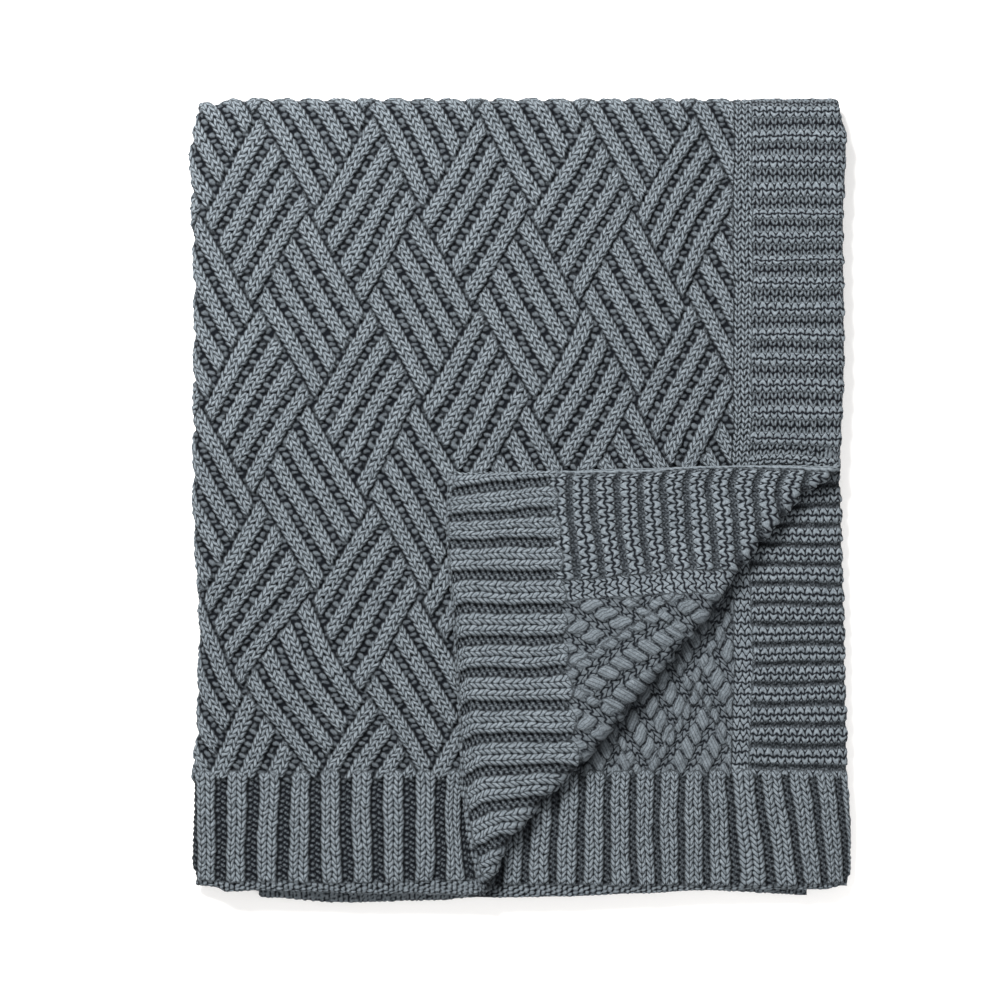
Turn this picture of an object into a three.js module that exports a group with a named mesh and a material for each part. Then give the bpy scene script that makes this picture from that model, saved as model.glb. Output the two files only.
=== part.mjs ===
// A chunky knit bed throw, folded in quarters, with the lower corner of its top layer turned back.
// Millimetres, +Z up. The packet lies flat with its top fold towards +Y and its side fold towards -X.

import * as THREE from 'three';

// The packet: from the side fold's tangent to the free edges, and from the end fold's to the hems.
const packetWidth = 626;
const packetLength = 755;
const clothThickness = 6.5;
const layerGap = 0.7;
const layerPitch = clothThickness + layerGap;

// Radii of the cloth's middle surface in its folds. The end fold is bent round two layers at once.
const sideFoldRadius = layerPitch / 2;
const endFoldRadius = layerPitch;
const cornerFoldRadius = 5.4;
const cornerSettleReach = 70;
const sideFoldArc = Math.PI * sideFoldRadius;
const endFoldArc = Math.PI * endFoldRadius;
const cornerFoldArc = Math.PI * cornerFoldRadius;
const foldSteps = 6;
const endFoldSteps = 8;

// The turned corner: where its crease meets the side edge and the hem, and where the corner point lies.
const creaseOnSideEdge = 334;
const creaseOnHem = 272;
const turnedPoint = { across: 243, down: 348 };

// The turned corner's hem and side edge bow outwards, more so towards the crease.
// The hem's bow fades over a share of the corner, and the crease's waviness over a distance.
const turnedHemBow = 17;
const turnedSideBow = 3.5;
const turnedBowSkew = 0.35;
const hemBowFade = 0.55;
const creaseFadeReach = 110;

// The bounding box is centred on these distances from the two fold tangents.
const centreAcross = 311.887;
const centreDown = 375.811;

// How far each edge stands out from straight, at distances along it.
const sideFoldWave = [
  { at: 0, out: 1 },
  { at: 17, out: 3 },
  { at: 182, out: -1 },
  { at: 376, out: 0 },
  { at: 493, out: -6 },
  { at: 590, out: -4 },
  { at: 648, out: 1 },
  { at: 735, out: 1 },
];
const sideEdgeWave = [
  { at: 0, out: -5 },
  { at: 22, out: 1 },
  { at: 114, out: -2 },
  { at: 240, out: -1 },
  { at: 347, out: -5 },
  { at: 396, out: -3 },
  { at: 522, out: 0 },
  { at: 628, out: 2 },
  { at: 716, out: 6 },
];
const upperHemWave = [
  { at: 0, out: 3 },
  { at: 58, out: 0 },
  { at: 97, out: 1 },
  { at: 184, out: 4 },
  { at: 291, out: 8 },
  { at: 349, out: 7 },
  { at: 427, out: 4 },
  { at: 485, out: 1 },
  { at: 543, out: 0 },
  { at: 626, out: -3 },
];
const lowerHemWave = [
  { at: 62, out: 9 },
  { at: 136, out: 11 },
  { at: 223, out: 9 },
  { at: 291, out: 4 },
  { at: 388, out: 0 },
  { at: 485, out: 2 },
  { at: 586, out: 6 },
];

// How far the crease of the turned corner is drawn in from straight, at distances along it.
const creaseWave = [
  { at: 0, out: 0 },
  { at: 55, out: 16 },
  { at: 140, out: 17 },
  { at: 200, out: 12 },
  { at: 300, out: 17 },
  { at: 370, out: 16 },
  { at: 450, out: 23 },
  { at: 490, out: 23 },
  { at: 550, out: 4 },
];

// Rounding of the packet's corners: how far each is pulled in, and over what distance that fades.
const roundedCorners = [
  { across: 0, down: 0, inward: 5, reach: 34 },
  { across: 0, down: packetLength, inward: 6, reach: 30 },
  { across: packetWidth, down: packetLength, inward: 3, reach: 24 },
];

// The hem of the lower pair of layers is drawn in by its ribs, so the upper pair sags beyond it.
const drawStart = 590;
const drawInAtSideFold = 66;
const drawInAtSideEdge = 42;
const sagClearance = 12;
const sagReach = 60;
const sagDepth = 2 * layerPitch;

// Points closer than this are one point.
const tinyDistance = 1e-6;

// Extra grid lines close to the folds and the free edges, and the number of even steps between them.
const acrossGrid = { fromFold: [10, 26, 44, 62], steps: 7, toEdge: [62, 44, 26, 10] };
const downGrid = { fromFold: [10, 26], steps: 9, toEdge: [140, 110, 84, 62, 44, 26, 10] };

function ease(value) {
  const t = Math.min(Math.max(value, 0), 1);
  return t * t * (3 - 2 * t);
}

function readWave(wave, at) {
  if (at <= wave[0].at) {
    return wave[0].out;
  }
  for (let i = 1; i < wave.length; i += 1) {
    const before = wave[i - 1];
    const after = wave[i];
    if (at <= after.at) {
      const share = ease((at - before.at) / (after.at - before.at));
      return before.out + (after.out - before.out) * share;
    }
  }
  return wave[wave.length - 1].out;
}

// The crease of the turned corner as a line in the flat cloth, with its normal towards the corner.
const creaseStart = new THREE.Vector2(packetWidth, creaseOnSideEdge);
const creaseEnd = new THREE.Vector2(creaseOnHem, packetLength);
const creaseAlong = creaseEnd.clone().sub(creaseStart).normalize();
const creaseNormal = new THREE.Vector2(creaseAlong.y, -creaseAlong.x);
const cornerPoint = new THREE.Vector2(packetWidth, packetLength);
const cornerReach = cornerPoint.clone().sub(creaseStart).dot(creaseNormal);
const creaseLength = creaseEnd.distanceTo(creaseStart);
const cornerAlong = cornerPoint.clone().sub(creaseStart).dot(creaseAlong) / creaseLength;

// The ribs are stretched where the corner is turned: this much for each millimetre beyond the crease.
function findCornerStretch() {
  const point = new THREE.Vector2(turnedPoint.across, turnedPoint.down);
  const beyond = -point.clone().sub(creaseStart).dot(creaseNormal);
  const unturned = point.addScaledVector(creaseNormal, 2 * beyond + cornerFoldArc);
  return unturned.sub(cornerPoint).divideScalar(cornerReach);
}

const cornerStretch = findCornerStretch();

// Turns the corner up and over along its crease. The lift is the distance above the layer's middle surface.
function turnCorner(across, down, offset) {
  if (across < 0 || down < 0) {
    return { across, down, lift: offset };
  }
  const point = new THREE.Vector2(across, down);
  const beyondFlat = point.clone().sub(creaseStart).dot(creaseNormal);
  const along = point.clone().sub(creaseStart).dot(creaseAlong) / creaseLength;
  if (beyondFlat <= 0) {
    const nearCrease = 1 - ease(-beyondFlat / creaseFadeReach);
    point.addScaledVector(creaseNormal, -readWave(creaseWave, along * creaseLength) * nearCrease);
    return { across: point.x, down: point.y, lift: offset };
  }
  const move = shapeTurnedCorner(beyondFlat / cornerReach, along);
  point.addScaledVector(cornerStretch, beyondFlat);
  const beyond = point.clone().sub(creaseStart).dot(creaseNormal);
  const angle = Math.min(beyond / cornerFoldRadius, Math.PI);
  const radius = cornerFoldRadius - offset;
  const travel = radius * Math.sin(angle) - Math.max(beyond - cornerFoldArc, 0);
  const settled = ease((beyond - cornerFoldArc) / cornerSettleReach);
  const lift = cornerFoldRadius - radius * Math.cos(angle) - (2 * cornerFoldRadius - layerPitch) * settled;
  point.addScaledVector(creaseNormal, travel - beyond);
  point.add(move);
  return { across: point.x, down: point.y, lift };
}

// Moves points of the turned corner so that its two edges bow outwards and its crease is drawn in.
// Each point is shared between the corner point and the two ends of the crease.
function shapeTurnedCorner(cornerShare, along) {
  const hemShare = Math.max(along - cornerAlong * cornerShare, 0);
  const edgeShare = Math.max(1 - cornerShare - hemShare, 0);
  const hemFade = 1 - ease(edgeShare / hemBowFade);
  const creaseShare = Math.max(1 - cornerShare, tinyDistance);
  const drawIn = readWave(creaseWave, (hemShare / creaseShare) * creaseLength) * creaseShare;
  const move = creaseNormal.clone().multiplyScalar(-drawIn);
  move.x -= turnedHemBow * hemFade * bowShare(hemShare, cornerShare);
  move.y -= turnedSideBow * bowShare(edgeShare, cornerShare);
  return move;
}

// A full, flat-topped bow between a crease end and the corner point.
function bowShare(creaseEndShare, cornerShare) {
  const nearness = 4 * creaseEndShare * cornerShare;
  return nearness * (2 - nearness) * (1 + turnedBowSkew * (creaseEndShare - cornerShare));
}

// Folds the half of the cloth beyond the side fold underneath.
function foldSide(across, lift) {
  if (across >= 0) {
    return { across, level: sideFoldRadius + lift };
  }
  const angle = Math.min(-across / sideFoldRadius, Math.PI);
  const radius = sideFoldRadius + lift;
  const beyond = Math.max(-across - sideFoldArc, 0);
  return { across: beyond - radius * Math.sin(angle), level: radius * Math.cos(angle) };
}

// Folds both layers beyond the end fold underneath the other two.
function foldEnd(down, level) {
  if (down >= 0) {
    return { down, level: endFoldRadius + level };
  }
  const angle = Math.min(-down / endFoldRadius, Math.PI);
  const radius = endFoldRadius + level;
  const beyond = Math.max(-down - endFoldArc, 0);
  return { down: beyond - radius * Math.sin(angle), level: radius * Math.cos(angle) };
}

// Gives the folded packet its uneven outline, drawn-in lower hem, rounded corners and sagging ends.
function settle(across, down, level, isLower) {
  const nearHem = ease((down - drawStart) / (packetLength - drawStart));
  const foldLine = -readWave(sideFoldWave, down);
  const edgeLine = packetWidth + readWave(sideEdgeWave, down);
  const lowerFoldLine = foldLine + drawInAtSideFold * nearHem;
  const lowerEdgeLine = edgeLine - drawInAtSideEdge * nearHem;
  const left = isLower ? lowerFoldLine : foldLine;
  const right = isLower ? lowerEdgeLine : edgeLine;
  const stretch = across > 0 ? (right - left) / packetWidth : 1;
  let x = left + across * stretch;
  const hemLine = packetLength + readWave(isLower ? lowerHemWave : upperHemWave, x);
  let y = down > 0 ? down * (hemLine / packetLength) : down;
  for (const corner of roundedCorners) {
    const reach = Math.hypot(x - corner.across, y - corner.down) / corner.reach;
    const pull = corner.inward * Math.max(1 - reach * reach, 0);
    x += corner.across > 0 ? -pull : pull;
    y += corner.down > 0 ? -pull : pull;
  }
  const pastFold = lowerFoldLine - sideFoldRadius - clothThickness / 2 - x;
  const pastEdge = x - lowerEdgeLine;
  const overhang = Math.max(pastFold, pastEdge) - sagClearance;
  const sag = isLower ? 0 : sagDepth * ease(overhang / sagReach);
  return { x, y, z: level - sag };
}

// Places one point of the cloth. The offset is measured from the middle surface towards the cloth's face.
function placeCloth(across, down, offset) {
  const corner = turnCorner(across, down, offset);
  const side = foldSide(corner.across, corner.lift);
  const end = foldEnd(corner.down, side.level);
  const isLower = down < -endFoldArc / 2;
  const settled = settle(side.across, end.down, end.level, isLower);
  const lowest = endFoldRadius + sideFoldRadius + clothThickness / 2;
  return new THREE.Vector3(settled.x - centreAcross, centreDown - settled.y, settled.z + lowest);
}

// Grid lines over one half of the cloth, from a fold's tangent to the edge.
function halfStations(length, grid) {
  const first = grid.fromFold[grid.fromFold.length - 1];
  const last = length - grid.toEdge[0];
  const stations = [0, ...grid.fromFold];
  for (let i = 1; i < grid.steps; i += 1) {
    stations.push(first + ((last - first) * i) / grid.steps);
  }
  for (const distance of grid.toEdge) {
    stations.push(length - distance);
  }
  stations.push(length);
  return stations;
}

// Grid lines over the whole cloth, with even steps round the fold.
function clothStations(length, grid, arc, arcSteps) {
  const half = halfStations(length, grid);
  const under = half.map((station) => -arc - station).reverse();
  const bend = [];
  for (let i = 1; i < arcSteps; i += 1) {
    bend.push(-arc + (arc * i) / arcSteps);
  }
  return [...under, ...bend, ...half];
}

// Splits every polygon that a line crosses, so that no facet spans a crease.
function splitAlong(polygons, distance) {
  const result = [];
  for (const polygon of polygons) {
    const near = [];
    const far = [];
    for (let i = 0; i < polygon.length; i += 1) {
      const start = polygon[i];
      const end = polygon[(i + 1) % polygon.length];
      const startSide = distance(start);
      const endSide = distance(end);
      if (startSide <= 0) {
        near.push(start);
      }
      if (startSide >= 0) {
        far.push(start);
      }
      if (startSide * endSide < 0) {
        const crossing = start.clone().lerp(end, startSide / (startSide - endSide));
        near.push(crossing);
        far.push(crossing);
      }
    }
    for (const piece of [near, far]) {
      if (piece.length > 2) {
        result.push(piece);
      }
    }
  }
  return result;
}

// The flat cloth as convex polygons: a grid, cut again along the bend of the turned corner.
function cutCloth() {
  const acrossLines = clothStations(packetWidth, acrossGrid, sideFoldArc, foldSteps);
  const downLines = clothStations(packetLength, downGrid, endFoldArc, endFoldSteps);
  let polygons = [];
  for (let i = 1; i < acrossLines.length; i += 1) {
    for (let j = 1; j < downLines.length; j += 1) {
      polygons.push([
        new THREE.Vector2(acrossLines[i - 1], downLines[j - 1]),
        new THREE.Vector2(acrossLines[i], downLines[j - 1]),
        new THREE.Vector2(acrossLines[i], downLines[j]),
        new THREE.Vector2(acrossLines[i - 1], downLines[j]),
      ]);
    }
  }
  const stretchGain = 1 + cornerStretch.dot(creaseNormal);
  for (let i = 0; i <= foldSteps; i += 1) {
    const reach = (cornerFoldArc * i) / foldSteps / stretchGain;
    const distance = (point) => point.clone().sub(creaseStart).dot(creaseNormal) - reach;
    polygons = splitAlong(polygons, (point) => roundTiny(distance(point)));
  }
  return polygons;
}

function roundTiny(value) {
  return Math.abs(value) < tinyDistance ? 0 : value;
}

// Closes the cloth: its face, its reverse, and the edge all round between them.
function buildCloth() {
  const cornerIndex = new Map();
  const corners = [];
  const triangles = [];
  const edges = new Map();
  const indexOf = (point) => {
    const key = `${Math.round(point.x / tinyDistance)},${Math.round(point.y / tinyDistance)}`;
    if (!cornerIndex.has(key)) {
      cornerIndex.set(key, corners.length);
      corners.push(point);
    }
    return cornerIndex.get(key);
  };
  for (const polygon of cutCloth()) {
    const loop = polygon.map(indexOf);
    for (let i = 2; i < loop.length; i += 1) {
      triangles.push([loop[0], loop[i - 1], loop[i]]);
    }
    for (let i = 0; i < loop.length; i += 1) {
      edges.set(`${loop[i]},${loop[(i + 1) % loop.length]}`, [loop[i], loop[(i + 1) % loop.length]]);
    }
  }
  const positions = [];
  for (const offset of [clothThickness / 2, -clothThickness / 2]) {
    for (const corner of corners) {
      positions.push(...placeCloth(corner.x, corner.y, offset).toArray());
    }
  }
  const under = corners.length;
  const indices = [];
  for (const [a, b, c] of triangles) {
    indices.push(a, c, b);
    indices.push(under + a, under + b, under + c);
  }
  for (const [start, end] of edges.values()) {
    if (!edges.has(`${end},${start}`)) {
      indices.push(start, end, under + end);
      indices.push(start, under + end, under + start);
    }
  }
  const geometry = new THREE.BufferGeometry();
  geometry.setAttribute('position', new THREE.Float32BufferAttribute(positions, 3));
  geometry.setIndex(indices);
  geometry.computeVertexNormals();
  return geometry;
}

const slateCotton = new THREE.MeshStandardMaterial({ color: 0x66707a, roughness: 0.92, metalness: 0 });
const knitThrow = new THREE.Mesh(buildCloth(), slateCotton);
knitThrow.name = 'knit_throw';

const model = new THREE.Group();
model.add(knitThrow);

export default model;
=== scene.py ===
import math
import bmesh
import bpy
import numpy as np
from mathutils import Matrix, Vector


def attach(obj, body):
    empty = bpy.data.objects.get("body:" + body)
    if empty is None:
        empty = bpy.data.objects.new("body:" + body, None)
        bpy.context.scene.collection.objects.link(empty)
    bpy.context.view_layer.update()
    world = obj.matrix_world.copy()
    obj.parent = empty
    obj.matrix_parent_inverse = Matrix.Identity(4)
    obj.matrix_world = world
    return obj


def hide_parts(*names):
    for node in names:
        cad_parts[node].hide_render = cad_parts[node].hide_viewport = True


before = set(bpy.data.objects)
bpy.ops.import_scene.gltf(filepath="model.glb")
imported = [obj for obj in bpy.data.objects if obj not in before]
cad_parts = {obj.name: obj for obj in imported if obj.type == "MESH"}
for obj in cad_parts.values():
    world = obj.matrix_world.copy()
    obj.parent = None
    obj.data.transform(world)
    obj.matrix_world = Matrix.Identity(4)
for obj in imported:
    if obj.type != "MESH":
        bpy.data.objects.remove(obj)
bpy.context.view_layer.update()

# A chunky knit throw folded in quarters, with the lower corner of its top layer turned back.
# Sizes are in millimetres and turn into metres where a mesh is placed.
# The cloth is one piece. Across runs from the side fold to the free edge, and down from the end fold to
# the hem. Below zero both go on over a fold, into the layer underneath.

mm = 0.001
tiny = 0.000001  # stands in for nothing where it divides

packet = {
    "width": 626,
    "length": 755,
    "thickness": 6.5,
    "gap": 0.7,
    "cornerRadius": 5.4,
    "cornerSettle": 70,
    "creaseOnEdge": 334,  # where the crease of the turned corner meets the side edge
    "creaseOnHem": 272,  # and where it meets the hem
    "cornerAcross": 243,  # where the corner point comes to lie
    "cornerDown": 348,
    "hemBow": 17,  # how far its two edges bow outwards, more so towards the crease
    "sideBow": 3.5,
    "bowSkew": 0.35,
    "hemBowFade": 0.55,
    "creaseFade": 110,
    "centreAcross": 311.887,
    "centreDown": 375.811,
    "drawStart": 590,  # the lower pair's hem draws in from here
    "drawAtFold": 66,
    "drawAtEdge": 42,
    "sagClearance": 12,
    "sagReach": 60,
}

# How far each edge stands out from straight: (place along it, how far).
outline = {
    "sideFold": [(0, 1), (17, 3), (182, -1), (376, 0), (493, -6), (590, -4), (648, 1), (735, 5)],
    "sideEdge": [(0, -5), (22, 1), (114, -2), (240, -1), (347, -5), (396, -3), (522, 0), (628, 2),
                 (716, 6)],
    "upperHem": [(0, 3), (58, 0), (97, 1), (184, 4), (291, 8), (349, 7), (427, 4), (485, 1), (543, 0),
                 (626, 0)],
    "lowerHem": [(62, 9), (136, 14), (223, 12), (291, 7), (388, 0), (485, 2), (586, 6)],
    "crease": [(0, 0), (55, 16), (140, 17), (200, 12), (300, 17), (370, 16), (450, 23), (490, 23),
               (550, 4)],
    "corners": [(0, 0, 5, 34), (0, 755, 6, 24), (626, 755, 3, 16)],  # across, down, inward, reach
}

width, length, thickness = packet["width"], packet["length"], packet["thickness"]
pitch = thickness + packet["gap"]
sideRadius = pitch / 2
endRadius = pitch
sideArc = math.pi * sideRadius
endArc = math.pi * endRadius
cornerArc = math.pi * packet["cornerRadius"]
sideOuterArc = math.pi * (sideRadius + thickness / 2)
endOuterArc = math.pi * (endRadius + sideRadius + thickness / 2)


def ease(value):
    t = np.clip(value, 0, 1)
    return t * t * (3 - 2 * t)


def readWave(wave, at):
    places, outs = np.array(wave, float).T
    at = np.clip(at, places[0], places[-1])
    after = np.clip(np.searchsorted(places, at), 1, len(wave) - 1)
    share = ease((at - places[after - 1]) / (places[after] - places[after - 1]))
    return outs[after - 1] + (outs[after] - outs[after - 1]) * share


# The crease of the turned corner in the flat cloth, with its normal towards the corner.
creaseStart = np.array([width, packet["creaseOnEdge"]], float)
creaseEnd = np.array([packet["creaseOnHem"], length], float)
creaseLength = np.linalg.norm(creaseEnd - creaseStart)
creaseAlong = (creaseEnd - creaseStart) / creaseLength
creaseNormal = np.array([creaseAlong[1], -creaseAlong[0]])
cornerPoint = np.array([width, length], float)
cornerReach = (cornerPoint - creaseStart) @ creaseNormal


def pastCrease(across, down):
    return (across - creaseStart[0]) * creaseNormal[0] + (down - creaseStart[1]) * creaseNormal[1]


def alongCrease(across, down):
    return (across - creaseStart[0]) * creaseAlong[0] + (down - creaseStart[1]) * creaseAlong[1]


# The cloth stretches where the corner is turned: this much for each millimetre past the crease.
def findCornerStretch():
    point = np.array([packet["cornerAcross"], packet["cornerDown"]], float)
    behind = -pastCrease(*point)
    unturned = point + creaseNormal * (2 * behind + cornerArc)
    return (unturned - cornerPoint) / cornerReach


cornerStretch = findCornerStretch()


# A full, flat-topped bow between an end of the crease and the corner point.
def bowShare(endShare, cornerShare):
    nearness = 4 * endShare * cornerShare
    return nearness * (2 - nearness) * (1 + packet["bowSkew"] * (endShare - cornerShare))


def turnCorner(across, down, lift):
    past = pastCrease(across, down)
    onUpper = (across >= 0) & (down >= 0)
    turned = onUpper & (past > 0)
    along = alongCrease(across, down) / creaseLength
    cornerShare = np.clip(past / cornerReach, 0, 1)
    hemShare = np.maximum(along - alongCrease(*cornerPoint) / creaseLength * cornerShare, 0)
    edgeShare = np.maximum(1 - cornerShare - hemShare, 0)
    creaseShare = np.maximum(1 - cornerShare, tiny)
    stretchedAcross = across + cornerStretch[0] * past
    stretchedDown = down + cornerStretch[1] * past
    beyond = pastCrease(stretchedAcross, stretchedDown)
    bend = packet["cornerRadius"]
    angle = np.minimum(beyond / bend, math.pi)
    radius = bend - lift
    travel = radius * np.sin(angle) - np.maximum(beyond - cornerArc, 0)
    settled = ease((beyond - cornerArc) / packet["cornerSettle"])
    turnedLift = bend - radius * np.cos(angle) - (2 * bend - pitch) * settled
    drawIn = readWave(outline["crease"], hemShare / creaseShare * creaseLength) * creaseShare
    shift = np.where(turned, travel - beyond - drawIn, 0)
    nearCrease = 1 - ease(-past / packet["creaseFade"])
    drawn = readWave(outline["crease"], along * creaseLength) * nearCrease
    drawn = np.where(onUpper & (past <= 0), drawn, 0)
    hemFade = 1 - ease(edgeShare / packet["hemBowFade"])
    out = np.where(turned, packet["hemBow"] * hemFade * bowShare(hemShare, cornerShare), 0)
    up = np.where(turned, packet["sideBow"] * bowShare(edgeShare, cornerShare), 0)
    x = np.where(turned, stretchedAcross, across) + creaseNormal[0] * (shift - drawn) - out
    y = np.where(turned, stretchedDown, down) + creaseNormal[1] * (shift - drawn) - up
    return x, y, np.where(turned, turnedLift, lift)


# Folds what lies below zero underneath, round a bend of this radius.
def foldUnder(place, level, bend, arc):
    angle = np.clip(-place / bend, 0, math.pi)
    radius = bend + level
    beyond = np.maximum(-place - arc, 0)
    return np.where(place >= 0, place, beyond - radius * np.sin(angle)), radius * np.cos(angle)


# Gives the packet its uneven outline, drawn-in lower hem, rounded corners and sagging ends.
def settle(across, down, level, isLower):
    nearHem = ease((down - packet["drawStart"]) / (length - packet["drawStart"]))
    foldLine = -readWave(outline["sideFold"], down)
    edgeLine = width + readWave(outline["sideEdge"], down)
    lowerFoldLine = foldLine + packet["drawAtFold"] * nearHem
    lowerEdgeLine = edgeLine - packet["drawAtEdge"] * nearHem
    left = np.where(isLower, lowerFoldLine, foldLine)
    right = np.where(isLower, lowerEdgeLine, edgeLine)
    x = left + across * np.where(across > 0, (right - left) / width, 1)
    hemWave = np.where(isLower, readWave(outline["lowerHem"], x), readWave(outline["upperHem"], x))
    y = np.where(down > 0, down * (1 + hemWave / length), down)
    for cornerAcross, cornerDown, inward, cornerSize in outline["corners"]:
        away = np.hypot(x - cornerAcross, y - cornerDown) / cornerSize
        pull = inward * np.maximum(1 - away * away, 0)
        x = x + (-pull if cornerAcross > 0 else pull)
        y = y + (-pull if cornerDown > 0 else pull)
    pastFold = lowerFoldLine - sideRadius - thickness / 2 - x
    overhang = np.maximum(pastFold, x - lowerEdgeLine) - packet["sagClearance"]
    sag = np.where(isLower, 0, 2 * pitch * ease(overhang / packet["sagReach"]))
    return x, y, level - sag


# Places points of the cloth. The offset is measured from its middle surface towards its face.
def placeCloth(across, down, offset):
    turnedAcross, turnedDown, lift = turnCorner(across, down, offset)
    sideAcross, level = foldUnder(turnedAcross, lift, sideRadius, sideArc)
    endDown, level = foldUnder(turnedDown, level, endRadius, endArc)
    x, y, level = settle(sideAcross, endDown, level, down < -endArc / 2)
    lowest = endRadius + sideRadius + thickness / 2
    return np.stack([x - packet["centreAcross"], packet["centreDown"] - y, level + lowest], 1) * mm


print("cloth map ready")

# Knit relief. Each function below gives seven rows for its points: height above the middle surface, how
# open to the light it is, the place in stitches across and down, and how far it is made of knit legs, of
# purl bumps and of slanted bundles.

strand = {
    "uneven": 0.35,  # how far one lies from its place
    "askew": 0.3,  # the share of that which turns it
    "lifted": 0.8,  # and which lifts it
    "taper": 0.25,
    "fall": 3,  # how steeply the relief falls away beside it
    "below": -9.0,  # lower than any relief
    "sideShade": 0.1,
    "crownShade": 1.4,
}
legs = {"places": ((0.26, 1), (0.74, -1)), "taper": 0.35}  # place in a wale and which way it leans
purls = {"wave": 0.28, "roundness": 1.7, "uneven": 0.4, "sideShade": 0.4}


# A number between -1 and 1 for each stitch, the same at every run.
def chance(column, row, turn):
    spread = np.sin(column * 12.9898 + row * 78.233 + turn * 37.719) * 4375.85
    return 2 * (spread - np.floor(spread)) - 1


# One field of like strands of yarn, a pitch apart across and down, each leaning along its half length.
# It gives the height, the dome, which is one on a strand's crown, and the place across the strand.
def strands(s, y, shear, field):
    pitchAcross, pitchDown = field["pitch"]
    startAcross, startDown = field["start"]
    halfAcross, halfDown = field["half"]
    half = math.hypot(halfAcross, halfDown)
    uneven = field.get("uneven", strand["uneven"])
    taper = field.get("taper", strand["taper"])
    column = np.round((s - startAcross) / pitchAcross)
    if "columns" in field:
        column = np.clip(column, 0, field["columns"] - 1)
    nearS = s - startAcross - column * pitchAcross
    firstRow = startDown + field.get("stagger", 0) * pitchDown * (column % 2)
    row = np.round((y - firstRow) / pitchDown)
    best = np.full((3, len(s)), strand["below"])
    for step in (-1, 0, 1):
        nearY = y - firstRow - (row + step) * pitchDown
        nearX = nearS + shear * nearY
        askew = strand["askew"] * uneven * chance(column, row + step, 1)
        towardAcross = halfAcross / half + askew * halfDown / half
        towardDown = halfDown / half - askew * halfAcross / half
        nearX = nearX + uneven * chance(column, row + step, 2)
        nearY = nearY + uneven * chance(column, row + step, 3)
        along = nearX * towardAcross + nearY * towardDown
        side = nearX * towardDown - nearY * towardAcross
        held = np.clip(along, -half, half)
        radius = field["radius"] * (1 - taper * (held / half) ** 2)
        away = ((along - held) ** 2 + side ** 2) / radius ** 2
        dome = np.sqrt(np.clip(1 - away, 0, 1))
        fall = strand["fall"] * np.maximum(np.sqrt(away) - 1, 0)
        lifted = uneven * strand["lifted"] * chance(column, row + step, 4)
        height = field["crown"] * (dome - fall) + field.get("rise", 0) * held / half + lifted
        found = np.stack([height, dome, side / lattice["stitch"]["wale"]])
        best = np.where(height > best[0], found, best)
    return best


def higher(first, second):
    return np.where(second[0] > first[0], second, first)


def upFrom(low, share):
    return low + (1 - low) * share


# Puts strands on a base, keeps them above the floor, and shades what lies low.
def lay(found, base, floor, openness, stitch=None, kinds=(0, 0, 0)):
    height = np.maximum(base + found[0], floor)
    shade = np.clip(strand["sideShade"] + strand["crownShade"] * found[1], 0, 1) * openness
    across, down = stitch if stitch else (found[2], np.zeros(len(height)))
    return np.stack([height, shade, across, down, *(np.full(len(height), kind) for kind in kinds)])


# Knit stitches: the left and right legs of each wale, a pair to a row. On a slanting cord they turn too.
def ridgeLegs(s, y, shear, knit, base, floor, openness):
    stretch = math.hypot(1, shear)
    s, y = s / stretch, (y + s * shear / stretch ** 2) * stretch
    wale, row = knit["wale"] / stretch, knit["row"] * stretch
    start = knit["from"] / stretch
    firstRow = knit.get("firstRow", 0) * stretch
    found = None
    for centre, sign in legs["places"]:
        field = dict(knit, pitch=(wale, row), start=(start + centre * wale, firstRow), taper=legs["taper"])
        leg = strands(s, y, 0, dict(field, half=(sign * knit["lean"], knit["reach"])))
        found = leg if found is None else higher(found, leg)
    stitch = ((s - start) / wale, (y - firstRow) / row)
    return lay(found, base, floor, openness, stitch, (1, 0, 0))


# What strands gives, for a dome that is found in another way.
def domed(crown, dome, uneven):
    return np.stack([crown * dome + uneven, upFrom(purls["sideShade"], dome), dome])


# Purl stitches: two wavy rows of bumps to each row, every bump set between those above and below.
def purlBumps(x, y, purl, base, floor, openness):
    across, down = x / purl["wale"], y / purl["row"]
    rows = 2 * down + purls["wave"] * np.cos(2 * math.pi * across)
    aside = np.abs(2 * ((across + np.floor(rows) % 2 / 2) % 1) - 1)
    along = np.abs(2 * (rows % 1) - 1)
    dome = np.sqrt(np.clip(1 - (aside ** 2 + along ** 2) / purls["roundness"], 0, 1))
    uneven = purls["uneven"] * chance(np.floor(2 * across), np.floor(rows), 5)
    return lay(domed(purl["crown"], dome, uneven), base, floor, openness, (across, down), (0, 1, 0))


def wrap(value, period):
    return (value + period / 2) % period - period / 2


def arched(place, half, power=2):
    return np.sqrt(np.clip(1 - np.abs(place / half) ** power, 0, 1))


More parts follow.
